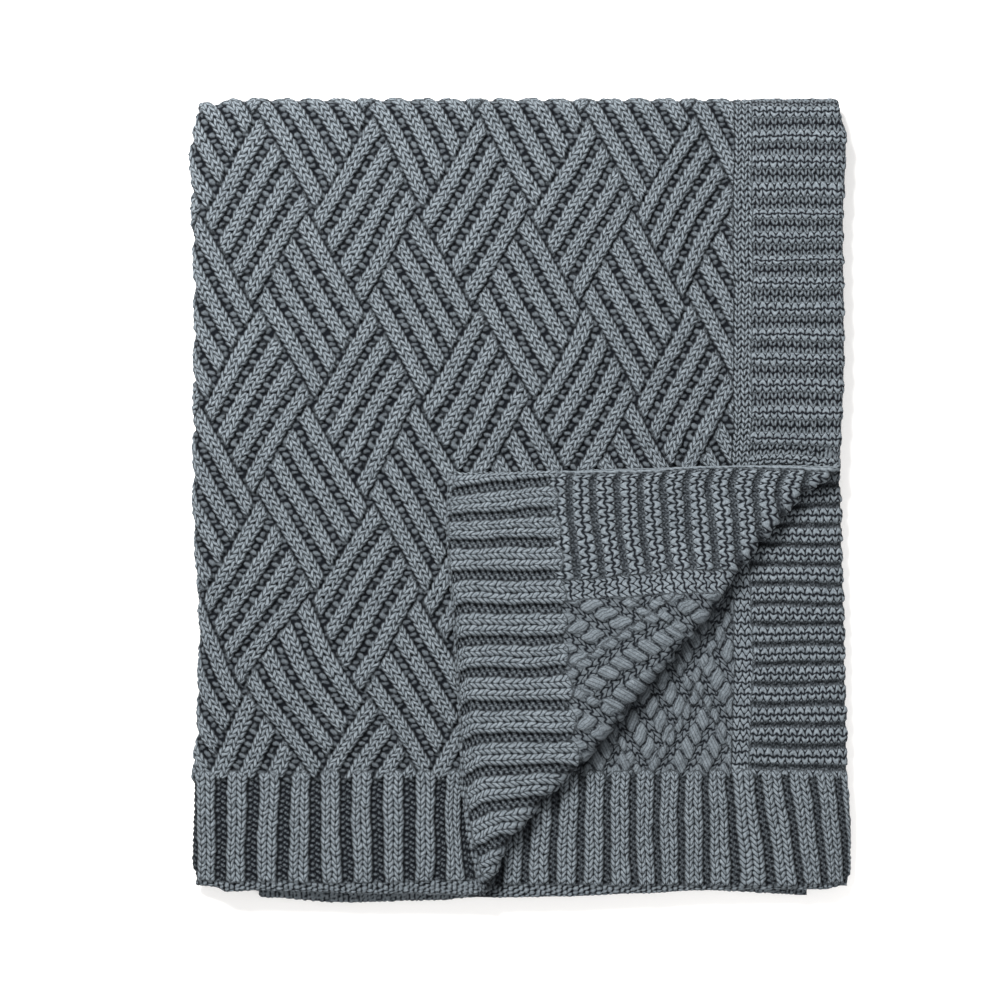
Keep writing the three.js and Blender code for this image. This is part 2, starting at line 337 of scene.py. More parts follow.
lattice = {
    "cell": 106.1,  # side of a lozenge, measured straight across
    "slant": 0.576,  # how far a cord moves across for each millimetre down
    "startFalling": 52.2,  # a corner of one lozenge, as across minus and plus slant times down
    "startRising": 164.1,
    "cords": 4,
    "cordHalf": 9.7,
    "cordBase": 3.9,
    "cordArch": 2.4,
    "cordShade": 0.5,
    "drop": 0.8,  # how much lower the cloth lies between the cords
    "stitch": {"wale": 8.9, "row": 5.76, "from": -8.9, "columns": 2, "lean": 1.1, "reach": 3.1,
               "radius": 1.8, "crown": 1.7, "rise": 0.7},
    "endReach": 4.0,
    "endFall": 5.0,
    "endShade": 0.25,
    # Between two cords lie big and small beads in turn.
    "beads": [
        {"start": (0.5, 0), "half": (1.6, 0.7), "radius": 2.9, "crown": 2.5, "uneven": 0.9,
         "openness": 0.56},
        {"start": (-0.9, 5.76), "half": (1.5, -0.6), "radius": 2.3, "crown": 1.8, "uneven": 0.9,
         "openness": 0.48},
    ],
    # It isn't quite even. Each row is a place, the reach round it and how far it has moved there.
    "moved": [(560, 190, 230, 420, -14, -10), (190, 15, 190, 70, 2.5, -3), (190, 400, 150, 130, 2.5, 4),
              (40, 560, 170, 110, -11, 2), (170, 530, 130, 110, 0, 8)],
}


# The cords of one slant: s is measured across them from a lozenge's edge, end along them from its middle.
def cordFamily(s, y, slant, end):
    spacing = lattice["cell"] / lattice["cords"]
    fromCord = wrap(s - spacing / 2, spacing)
    arch = arched(fromCord, lattice["cordHalf"], lattice["cordArch"])
    base = lattice["cordBase"] * arch - lattice["drop"] * (arch <= 0)
    openness = upFrom(lattice["cordShade"], arch)
    knit = ridgeLegs(fromCord, y, slant, lattice["stitch"], base, 0, openness)
    fromGroove = wrap(s, spacing)
    for bead in lattice["beads"]:
        field = dict(bead, pitch=(spacing, 2 * lattice["stitch"]["row"]), columns=1)
        knit = higher(lay(strands(fromGroove, y, slant, field), 0, 0, bead["openness"]), knit)
    inside = ease((lattice["cell"] / 2 + lattice["endReach"] - np.abs(end)) / lattice["endFall"])
    knit[0] = knit[0] * inside
    knit[1] = knit[1] * upFrom(lattice["endShade"], inside)
    return knit


# Weaves the two slants of the lattice, each made by the same function.
def weave(x, y, family):
    moveX, moveY = 0, 0
    for atX, atY, reachX, reachY, byX, byY in lattice["moved"]:
        near = ease(1 - np.hypot((x - atX) / reachX, (y - atY) / reachY))
        moveX = moveX + byX * near
        moveY = moveY + byY * near
    cell, slant = lattice["cell"], lattice["slant"]
    across, down = x - moveX, y - moveY
    falling = across - slant * down - lattice["startFalling"]
    rising = across + slant * down - lattice["startRising"]
    fallingStrip = np.floor(falling / cell)
    risingStrip = np.floor(rising / cell)
    risingEnd = wrap(rising - cell / 2 - ((fallingStrip + 1) % 2) * cell, 2 * cell)
    fallingEnd = wrap(falling - cell / 2 - (risingStrip % 2) * cell, 2 * cell)
    return higher(family(falling, down, slant, risingEnd), family(rising, down, -slant, fallingEnd))


def latticeFace(x, y):
    return weave(x, y, cordFamily)


# The reverse of the lattice: slanted bundles in chains along each groove, with small knots between.
reverse = {
    "knot": {"wale": 6.63, "row": 11.52, "crown": 2.6},
    "apart": 1.15,  # how many rows of knots lie between one bundle and the next
    "knotBase": -0.4,
    "knotOpenness": 0.6,
    "slope": 1.9,  # how fast a bundle climbs across its chain
    "half": 0.37,  # half its length, as a share of the chain's spacing
    "thick": 0.96,  # its thickness, as a share of its own spacing
    "bundleBase": 2.2,
    "bundleCrown": 2.8,
    "bundleOpenness": 0.74,
    "uneven": 0.5,
    "endFall": 3,
    "endHeight": 0.4,
    "endDrop": 4,
}


def backFamily(s, y, slant, end):
    spacing = lattice["cell"] / lattice["cords"]
    knot = reverse["knot"]
    openness = reverse["knotOpenness"]
    knots = purlBumps(s + spacing / 2, y, knot, reverse["knotBase"], 0, openness)
    chain = wrap(s, spacing) / spacing
    sign = math.copysign(1, slant)
    along = y / knot["row"] / reverse["apart"] + sign * reverse["slope"] * chain
    aside = np.abs(2 * (along % 1) - 1) / reverse["thick"]
    aslong = np.abs(chain) / reverse["half"]
    away = aside ** 2 + aslong ** 4
    dome = np.sqrt(np.clip(1 - away, 0, 1))
    uneven = reverse["uneven"] * chance(np.floor(along), np.floor(s / spacing + 0.5), 7)
    found = domed(reverse["bundleCrown"], dome, uneven + strand["below"] * (away > 1))
    openness = reverse["bundleOpenness"]
    stitch = tuple(knots[2:4])
    bundles = lay(found, reverse["bundleBase"], -1, openness, stitch, (0, 0, sign))
    knit = higher(knots, bundles)
    inside = ease((lattice["cell"] / 2 - np.abs(end)) / reverse["endFall"] + 0.5)
    knit[0] = knit[0] * upFrom(reverse["endHeight"], inside) - reverse["endDrop"] * (1 - inside)
    return knit


def latticeBack(x, y):
    return weave(x, y, backFamily)


# On the turned corner the two slants change places.
def latticeTurned(x, y):
    x = x - lattice["cell"] / lattice["cords"]
    return latticeBack(x + lattice["cell"] / 2, y - lattice["cell"] / 2 / lattice["slant"])


plain = {
    "base": 1.7,
    "backBase": 1.2,
    "floor": 0.6,
    "openness": 0.95,
    "backOpenness": 0.9,
    "stitch": {"wale": 6.9, "row": 5.76, "from": 0, "lean": 0.95, "reach": 2.3, "radius": 1.45,
               "crown": 1.7, "rise": 0.5},
    "bump": {"wale": 6.9, "row": 11.52, "crown": 1.8},
}


def plainFace(x, y):
    return ridgeLegs(x, y, 0, plain["stitch"], plain["base"], plain["floor"], plain["openness"])


def plainBack(x, y):
    return purlBumps(x, y, plain["bump"], plain["backBase"], plain["floor"], plain["backOpenness"])


# The border: purl welts across the cloth, with two rows of plain stitches between.
border = {
    "period": 24.35,
    "firstWelt": -2.2,
    # How far the welts have strayed from even: place and distance.
    "strayed": [(34, 3), (60, 4), (88, 7), (108, 3), (133, 2), (153, -2), (178, -2), (204, 0), (252, 0),
                (330, 4)],
    "weltHalf": 5.6,
    "weltBase": 3.5,
    "weltSpill": 1.2,  # the welt's arch is this much wider than its bumps
    "weltDrop": 3,  # beside them it drops so far, over so wide a strip
    "dropWidth": 1.5,
    "plainBase": 0.6,
    "plainOpenness": 0.7,
    "bump": {"wale": 7.47, "row": 11.2, "crown": 1.8},
    "stitch": {"wale": 7.47, "from": 0, "lean": 0.8, "reach": 2.4, "radius": 1.5, "crown": 1.9,
               "rise": 0.2},
}


def borderFace(x, y):
    t = wrap(y - readWave(border["strayed"], y) - border["firstWelt"], border["period"])
    arch = arched(t, border["weltHalf"] + border["weltSpill"])
    base = border["plainBase"] + (border["weltBase"] - border["plainBase"]) * arch
    welt = purlBumps(x, t, border["bump"], base, 0, 1)
    welt[0] = welt[0] - border["weltDrop"] * ease((np.abs(t) - border["weltHalf"]) / border["dropWidth"])
    row = (border["period"] - 2 * border["weltHalf"]) / 2
    knit = dict(border["stitch"], row=row, firstRow=border["weltHalf"] + row / 2)
    deep = t % border["period"]
    between = ridgeLegs(x, deep, 0, knit, border["plainBase"], 0, border["plainOpenness"])
    return higher(between, welt)


# The border's reverse: broad ridges of two rows of bumps, with dark grooves of plain stitches between.
backBorder = {
    "grooveShare": 0.34,
    "ridgeBase": 3.3,
    "ridgeArch": 4,
    "ridgeShade": 0.3,
    "ridgeDrop": 2,
    "bump": {"wale": 7.47, "row": 16.0, "crown": 2.2},
    "floor": -0.3,
    "grooveBase": 0.2,
    "stitch": {"wale": 7.47, "row": 4.2, "from": 0, "lean": 1.1, "reach": 1.5, "radius": 1.25,
               "crown": 1.5, "rise": 0, "firstRow": -2.1},
    "grooveOpenness": 0.5,
    # Where the dark grooves lie, as number and place, on the turned corner and on the layer below it.
    "turnedGrooves": [(0, 17.75), (26, 650.85)],
    "underGrooves": [(-16, 20), (0, 362), (1, 382), (3, 420), (6, 477), (9, 534.5), (11, 574), (14, 635.5),
                     (15, 655)],
}


def borderBack(x, y, grooves):
    counts, places = np.array(grooves, float).T
    count = np.interp(y, places, counts)
    period = np.interp(np.floor(count) + 1, counts, places) - np.interp(np.floor(count), counts, places)
    period = np.maximum(period, 1)
    t = wrap(count, 1) * period
    fromRidge = wrap(count - 0.5, 1) * period
    grooveHalf = backBorder["grooveShare"] / 2 * period
    ridgeHalf = period / 2 - grooveHalf
    arch = arched(fromRidge, ridgeHalf + 1.0, backBorder["ridgeArch"])
    scaled = fromRidge / ridgeHalf * backBorder["bump"]["row"] / 2
    base = backBorder["ridgeBase"] * arch - backBorder["ridgeDrop"] * (arch <= 0)
    floor = backBorder["floor"]
    openness = upFrom(backBorder["ridgeShade"], arch)
    ridge = purlBumps(x, scaled, backBorder["bump"], base, floor, openness)
    openness = backBorder["grooveOpenness"]
    groove = ridgeLegs(x, t, 0, backBorder["stitch"], backBorder["grooveBase"], floor, openness)
    return higher(groove, ridge)


# The hem: two wales of ribs and two of purl in turn. The grooves' places are read from a few of them.
hem = {
    "from": 643,
    "ribHalf": 9.6,
    "ribBase": 3.7,
    "ribArch": 3.4,
    "ribShade": 0.35,
    "drop": 1.0,
    "floor": -0.6,
    "early": 2,  # the grooves start so far above the hem, and deepen over such a distance
    "deepening": 11,
    "shallow": 1.6,
    "topRise": 9,  # the ribs' tops are rounded, and reach this far above the grooves
    "topFall": 4,
    "grooveSpill": 0.6,
    "stitch": {"wale": 9.3, "row": 5.6, "from": -9.3, "columns": 2, "lean": 1.15, "reach": 2.7,
               "radius": 2.0, "crown": 1.7, "rise": 0.7},
    "bead": {"half": (1.5, 1.0), "radius": 1.6, "crown": 1.9, "aside": 0.42},
    # The second layer's ribs lean out by so much at the edge, past this place and over these distances.
    "fan": {"by": 15, "from": 490, "across": 90, "down": 110},
    "face": {"ribShare": 0.67, "grooveOpenness": 0.54, "grooves": [(0, -9.6), (9, 264.9), (21, 630.9)]},
    "turned": {"ribShare": 0.76, "grooveOpenness": 0.62,
               "grooves": [(0, -9.6), (9, 264.9), (16, 458.6), (18, 510), (20, 566), (22, 612),
                           (23, 640)]},
    "under": {"ribShare": 0.78, "grooveOpenness": 0.5,
              "grooves": [(-5, 210), (0, 343.5), (3, 421), (7, 514), (8, 542), (9, 568.5), (10, 593),
                          (11, 616), (12, 640)]},
}


# Finds the rib at a place: the grooves before and after it, their distance, and how far its middle is.
def findRib(x, ribbing):
    counts, places = np.array(ribbing["grooves"], float).T
    first = np.floor(np.interp(x, places, counts))
    before = np.interp(first, counts, places)
    after = np.interp(first + 1, counts, places)
    spacing = np.maximum(after - before, 1)
    fromRib = (x - (before + after) / 2) * 2 * hem["ribHalf"] / (ribbing["ribShare"] * spacing)
    return before, after, spacing, fromRib


def ribs(x, y, ribbing):
    before, after, spacing, fromRib = findRib(x, ribbing)
    grooveHalf = (1 - ribbing["ribShare"]) * spacing / 2 + hem["grooveSpill"]
    deep = ease((y - hem["from"] + hem["early"]) / hem["deepening"])
    arch = 1 - (1 - arched(fromRib, hem["ribHalf"], hem["ribArch"])) * deep
    base = hem["ribBase"] * arch - hem["drop"] * (arch <= 0)
    rib = ridgeLegs(fromRib, y, 0, hem["stitch"], base, hem["floor"], upFrom(hem["ribShade"], arch))
    fromGroove = np.where(fromRib > 0, x - after, x - before)
    row = hem["stitch"]["row"]
    beads = None
    for sign, late in ((-1, 0), (1, 0.5)):
        field = dict(hem["bead"], pitch=(99, row), start=(0, late * row), columns=1)
        field["half"] = (hem["bead"]["half"][0], sign * hem["bead"]["half"][1])
        bead = strands(fromGroove - sign * grooveHalf * hem["bead"]["aside"], y, 0, field)
        beads = bead if beads is None else higher(beads, bead)
    bottom = hem["floor"] + hem["shallow"] * (1 - deep)
    stitch = (fromGroove / (2 * grooveHalf) + 0.5, y / row)
    groove = lay(beads, bottom, hem["floor"], ribbing["grooveOpenness"], stitch, (1, 0, 0))
    return higher(groove, rib)


# The hem is cast off in a brick pattern of small bumps, and the side edge is a chain of long stitches.
edgings = {
    "rim": {"pitch": (5.3, 4.6), "start": (0, 1.5), "stagger": 0.5, "half": (0.9, -0.7), "radius": 2.1,
            "crown": 2.0, "base": 1.9, "floor": 0.8, "openness": 0.85},
    "selvage": {"pitch": (5.2, 8.2), "start": (width - 1, 0), "stagger": 0.5, "half": (0.5, 3.2),
                "radius": 2.3, "crown": 1.5, "base": 2.2, "floor": 1.0, "openness": 0.95},
}


def edging(field):
    return lambda x, y: lay(strands(x, y, 0, field), field["base"], field["floor"], field["openness"])


regions = {"plain": 517, "border": 534.5, "selvage": 621.5, "blend": 3, "hemBlend": 6, "least": 0.001}


# Joins the regions of one side of the cloth, each shown where its share is over nothing.
def joinRegions(x, y, parts, ribbing):
    inPlain, inBorder, inSelvage = (
        ease((x - regions[name]) / regions["blend"] + 0.5) for name in ("plain", "border", "selvage"))
    inSelvage = inSelvage * parts["selvage"]
    fromRib = findRib(x, ribbing)[3]
    ribTop = hem["from"] + hem["topFall"] - hem["topRise"] * arched(fromRib, hem["ribHalf"] + 1)
    inHem = ease((y - ribTop) / regions["hemBlend"] + 0.5)
    inRim = ease((y - parts["rim"]) / regions["blend"] + 0.5)
    body = 1 - inHem
    shares = [
        (parts["lattice"], body * (1 - inPlain)),
        (parts["plain"], body * (inPlain - inBorder)),
        (parts["border"], body * (inBorder - inSelvage)),
        (edging(edgings["selvage"]), body * inSelvage),
        (lambda a, b: ribs(a, b, ribbing), inHem - inRim),
        (edging(edgings["rim"]), inRim),
    ]
    total = np.zeros((7, len(x)))
    most = np.zeros(len(x))
    for part, share in shares:
        there = share > regions["least"]
        if there.any():
            found = part(x[there], y[there])
            total[:2, there] += found[:2] * share[there]
            total[4:, there] += found[4:] * share[there]
            leads = share[there] > most[there]
            spot = np.flatnonzero(there)[leads]
            total[2:4, spot] = found[2:4, leads]
            most[spot] = share[spot]
    return total


faceParts = {"lattice": latticeFace, "plain": plainFace, "border": borderFace, "selvage": 0, "rim": 746}
backParts = {"lattice": latticeTurned, "plain": plainBack, "selvage": 1, "rim": 750,
             "border": lambda x, y: borderBack(x, y, backBorder["turnedGrooves"])}
underParts = dict(backParts, lattice=latticeBack, selvage=0,
                  border=lambda x, y: borderBack(x, y, backBorder["underGrooves"]))

# Hand knitting is never even: long and short waves shift the stitches. Each is its turns for a millimetre
# across and down, its phase, and how far it moves them.
shifts = [(0.021, 0.034, 0.4, 1.0, 0.6), (-0.047, 0.029, 2.1, 0.7, 0.5), (0.083, 0.101, 1.2, 0.4, 0.4),
          (0.31, -0.22, 0.0, 0.3, 0.3), (-0.47, 0.53, 3.3, 0.26, 0.3), (0.81, 0.43, 5.0, 0.2, 0.26)]


def shiftStitches(x, y):
    for turnsAcross, turnsDown, phase, moveX, moveY in shifts:
        swing = np.sin(turnsAcross * x + turnsDown * y + phase)
        x = x + moveX * swing
        y = y + moveY * swing
    return x, y


# And some stitches stand a little higher: by this share, in waves with their turns, bend and bend's turns.
swells = {"share": 0.09, "across": (0.37, 1.9, 0.23), "down": (0.49, 1.7, 0.19)}


def swell(along, beside, wave):
    turns, bend, bendTurns = wave
    return swells["share"] * np.sin(turns * along + bend * np.sin(bendTurns * beside))


# Averages a relief over a small spot, so that the mesh shows no more than it can hold.
def sampleKnit(x, y, parts, ribbing, spot=0.32):
    x, y = shiftStitches(x, y)
    knit = joinRegions(x, y, parts, ribbing)
    total = knit * 2
    for stepX, stepY in ((-1, -1), (1, -1), (-1, 1), (1, 1)):
        total = total + joinRegions(x + stepX * spot, y + stepY * spot, parts, ribbing)
    total = total / 6
    total[2:4] = knit[2:4]
    total[0] = total[0] * (1 + swell(x, y, swells["across"]) + swell(y, x, swells["down"]))
    return total


# Where a point of the upper layers lies in the spread pattern.
def patternPlace(p, q):
    x = np.clip(p, 0, width)
    y = np.clip(q, 0, length)
    settledX, settledY, level = settle(x, y, np.zeros(len(x)), np.zeros(len(x), bool))
    return p + settledX - x, q + settledY - y


def faceKnit(p, q):
    x, y = patternPlace(p, q)
    return sampleKnit(x, y, faceParts, hem["face"])


# The light hardly gets in beside the crease of the turned corner, or round the crease itself.
creaseShade = {"under": 0.65, "reach": 26, "turned": 0.3, "turnedReach": 12, "turnedFull": 1.6}


def turnedKnit(p, q):
    knit = sampleKnit(p, q, backParts, hem["turned"])
    near = ease(creaseShade["turnedFull"] - pastCrease(p, q) / creaseShade["turnedReach"])
    knit[1] = knit[1] * (1 - creaseShade["turned"] * near)
    return knit


# How far a point of the second layer is from the crease of the turned corner above it.
def besideCrease(p, q):
    x = -p - sideArc
    return pastCrease(x, q) + readWave(outline["crease"], alongCrease(x, q))


# The second layer's reverse: across is below zero there.
def underKnit(p, q):
    x, y = patternPlace(-p - sideArc, q)
    fan = hem["fan"]
    lean = ease((x - fan["from"]) / fan["across"]) * np.clip((y - hem["from"]) / fan["down"], 0, 1)
    return sampleKnit(x - fan["by"] * lean, y, underParts, hem["under"])


def shadedUnderKnit(p, q):
    knit = underKnit(p, q)
    near = ease(1 - besideCrease(p, q) / creaseShade["reach"])
    knit[1] = knit[1] * (1 - creaseShade["under"] * near)
    return knit


# The lowest layer's face and the third layer's reverse: down is below zero there.
def lowestKnit(p, q):
    return sampleKnit(p, -q - endOuterArc, faceParts, hem["face"])


def thirdKnit(p, q):
    return sampleKnit(-p - sideArc, -q - endArc, dict(backParts, rim=faceParts["rim"]), hem["face"])


print("knit relief ready")

# Soft ridges and troughs of the folded cloth: across and down where one starts and ends, its rise, and how
# far it reaches to its sides.
creases = {
    "top": [
        (236, 333, 600, 326, -1.3, 11), (226, 350, 236, 560, -1.1, 12), (70, 40, 180, 300, 1.3, 34),
        (330, 30, 400, 250, -1.2, 30), (500, 20, 508, 300, -0.9, 14), (575, 130, 600, 300, 1.1, 22),
        (20, 470, 180, 520, -1.3, 24), (60, 600, 220, 610, 1.0, 20), (300, 300, 430, 180, 1.0, 30),
    ],
    "turned": [
        (600, 420, 390, 690, 1.8, 22), (585, 560, 470, 660, -1.0, 24), (330, 745, 316, 715, 1.6, 14),
        (600, 700, 520, 742, 1.2, 16),
    ],
    "under": [
        (470, 560, 560, 640, -1.0, 24), (590, 380, 600, 600, 1.1, 20), (430, 690, 600, 660, 1.0, 18),
    ],
}


def creaseRise(x, y, softFolds):
    rise = np.zeros(len(x))
    for startX, startY, endX, endY, crown, reach in softFolds:
        spanX, spanY = endX - startX, endY - startY
        share = np.clip(((x - startX) * spanX + (y - startY) * spanY) / (spanX ** 2 + spanY ** 2), 0, 1)
        away = np.hypot(x - startX - share * spanX, y - startY - share * spanY) / reach
        rise = rise + crown * np.exp(-away ** 2)
    return rise


mesh = {
    "spacing": 1.2,
    "edgeRadius": 3.25,
    "returnHeight": 2.9,
    "edgeEase": 9,  # the relief flattens towards a free edge over this distance
    "edgePress": 0.3,
    "foldPress": 0.24,  # over a fold it is stretched smoother
    "foldFrom": 9,
    "foldReach": (14, 16),
    "lowest": 3.25,  # the lowest layer's face is pressed flat to the floor at this height
    "bakeMargin": 0.002,
}
edgeArc = math.pi * mesh["edgeRadius"]


# On the face, a bend is longer outside than along the cloth's middle.
def unbend(place, arc, outerArc):
    beyond = np.maximum(-place - outerArc, 0)
    return np.where(place >= 0, place, -np.clip(-place, 0, outerArc) * arc / outerArc - beyond)


# Rolls the cloth round its free edges, and back underneath.
def rollEdge(place, low, high, height):
    radius = mesh["edgeRadius"]
    overHigh = place - (high - radius)
    overLow = low + radius - place
    over = np.maximum(np.maximum(overHigh, overLow), 0)
    sign = np.where(overHigh > overLow, 1, -1)
    edge = np.where(overHigh > overLow, high - radius, low + radius)
    angle = np.minimum(over / radius, math.pi)
    back = np.maximum(over - edgeArc, 0)
    rolled = edge + sign * (height * np.sin(angle) - back)
    return np.where(over > 0, rolled, place), np.cos(angle)


def overFold(p, q):
    near = [ease((mesh["foldFrom"] - place) / reach) for place, reach in zip((p, q), mesh["foldReach"])]
    return 1 - mesh["foldPress"] * np.maximum(*near)


def nearFreeEdge(p, q):
    across = np.minimum(width - p, width + sideArc + p)
    down = np.minimum(length - q, length + endArc + q)
    return 1 - ease((np.minimum(across, down) - 1) / mesh["edgeEase"])


def placeSheet(p, q, height, side):
    across = unbend(p, sideArc, sideOuterArc) if side > 0 else p
    down = unbend(q, endArc, endOuterArc) if side > 0 else q
    rolledAcross, turnAcross = rollEdge(across, -width - sideArc, width, height)
    rolledDown, turnDown = rollEdge(down, -length - endArc, length, height)
    turn = np.minimum(turnAcross, turnDown)
    returned = ease(-turn * 1.5) + 0.5 * ease(-turnDown * 1.5) * (1 + ease(-turnAcross * 1.5))
    return placeCloth(rolledAcross, rolledDown, side * height * turn), returned


# A grid of the cloth between two places across and two down, cut along the crease where asked.
def makeGrid(piece):
    left, right = piece["across"]
    top, bottom = piece["down"]
    spacing = piece.get("spacing", mesh["spacing"])
    columns = round((right - left) / spacing)
    rows = round((bottom - top) / spacing)
    bm = bmesh.new()
    bmesh.ops.create_grid(bm, x_segments=columns, y_segments=rows, size=0.5)
    bmesh.ops.scale(bm, vec=Vector((right - left, bottom - top, 1)), verts=bm.verts)
    bmesh.ops.translate(bm, vec=Vector(((left + right) / 2, (top + bottom) / 2, 0)), verts=bm.verts)
    for point, normal in piece.get("cuts", ()):
        geom = bm.verts[:] + bm.edges[:] + bm.faces[:]
        point, normal = Vector((*point, 0)), Vector((*normal, 0))
        bmesh.ops.bisect_plane(bm, geom=geom, plane_co=point, plane_no=normal, clear_outer=True)
    data = bpy.data.meshes.new(piece["name"])
    bm.to_mesh(data)
    bm.free()
    return data


def addObject(name, data):
    made = bpy.data.objects.new(name, data)
    bpy.context.scene.collection.objects.link(made)
    return made


def makeMaterial(name, surface):
    material = bpy.data.materials.new(name)
    material.use_nodes = True
    shader = material.node_tree.nodes["Principled BSDF"]
    for socket, value in surface.items():
        shader.inputs[socket].default_value = value
    return material, shader


def writeMap(data, name, values):
    corners = np.zeros(len(data.loops), np.int32)
    data.loops.foreach_get("vertex_index", corners)
    layer = data.uv_layers.new(name=name, do_init=False)
    layer.uv.foreach_set("vector", values[corners].astype(np.float32).ravel())


def makeSheet(piece, material):
    data = makeGrid(piece)
    spread = np.zeros(len(data.vertices) * 3)
    data.vertices.foreach_get("co", spread)
    p, q = spread.reshape(-1, 3).T[:2]
    side = piece["side"]
    acrossUpper = np.where(p < 0, -p - sideArc, p)
    knit = piece["knit"](p, q)
    press = piece.get("press", lambda a, b: 1)(p, q) * (1 - mesh["edgePress"] * nearFreeEdge(p, q))
    height = knit[0] * press * (overFold(p, q) if side > 0 else 1)
    height = height + creaseRise(acrossUpper, q, creases.get(piece.get("creases"), ()))
    height = np.minimum(height, piece.get("limit", math.inf))
    returned = placeSheet(p, q, height, side)[1]
    tucked = np.minimum(returned, 1)
    tuckHeight = piece.get("tuck", lambda a, b: mesh["returnHeight"])(p, q) - (returned - tucked)
    height = height * (1 - tucked) + tuckHeight * tucked
    placed = placeSheet(p, q, height, side)[0]
    data.vertices.foreach_set("co", placed.ravel())
    if side > 0:
        data.flip_normals()
    data.shade_smooth()
    # The openness row is stored for the yarn's painted shade.
    for name, row in (("openness", 1), ("legs", 4), ("purls", 5), ("bundles", 6)):
        layer = data.attributes.new(name, "FLOAT", "POINT")
        layer.data.foreach_set("value", knit[row].astype(np.float32))
    writeMap(data, "stitch", knit[2:4].T)
    span = np.stack([p, q], 1)
    margin = mesh["bakeMargin"]
    writeMap(data, "OFBake", margin + (1 - 2 * margin) * (span - span.min(0)) / np.ptp(span, axis=0))
    data.materials.append(material)
    made = addObject(piece["name"], data)
    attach(made, "root")
    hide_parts("knit_throw")
    triangles = sum(len(face.vertices) - 2 for face in data.polygons)
    print(piece["name"], triangles, "triangles")
    return triangles


# Yarn: a heathered slate cotton, with painted shade where it lies low between stitches and in the gaps
# round its strands.
yarn = {
    "light": (0.184, 0.209, 0.228, 1),
    "dark": (0.084, 0.099, 0.112, 1),
    # The colour of painted shade, where the yarn lies deep between stitches.
    "creviceShade": (0.004, 0.005, 0.007, 1),
    "surface": {"Roughness": 0.92, "Sheen Weight": 0.02, "Sheen Roughness": 0.5,
                "Specular IOR Level": 0.06},
    # Noise: its scale or its turns, its detail, and the range that is shown.
    "heather": (620, 3, 0.36, 0.64),
    "patches": (45, 2, 0.2, 0.8),
    "streaks": (1, 2, 0.3, 0.7),
    "streakTurns": (6, 1.5),  # fine plies, to a wale across and a row down
    "fibres": (1700, 3),
    "shares": {"heather": 0.55, "streaks": 0.3, "patches": 0.2},
    "legSlope": 2.4,  # how fast a stitch's lower edge climbs away from the middle of its wale
    # Where the painted shade in the gap round a strand starts and is full, as shares of its half size.
    "legSideGap": (0.6, 1.0),
    "legEndGap": (0.74, 1.06),
    "purlGap": (0.36, 1.04),
    "bundleGap": (0.42, 0.93),
    # The plies' count in a bundle, where the gap between them starts and is full, and how much shade is
    # painted in it.
    "plies": (4, 0.5, 1.0, 0.55),  # in a bundle, with their gap and its darkness
    # How much painted shade fills the gaps round the strands.
    "gapShade": 0.98,
    "open": (0.08, 0.98),
    "depths": (0.0007, 0.0004, 0.00025),  # bump of the strands, their plies and the fibres
    "bumps": (0.8, 0.7, 0.6),
}


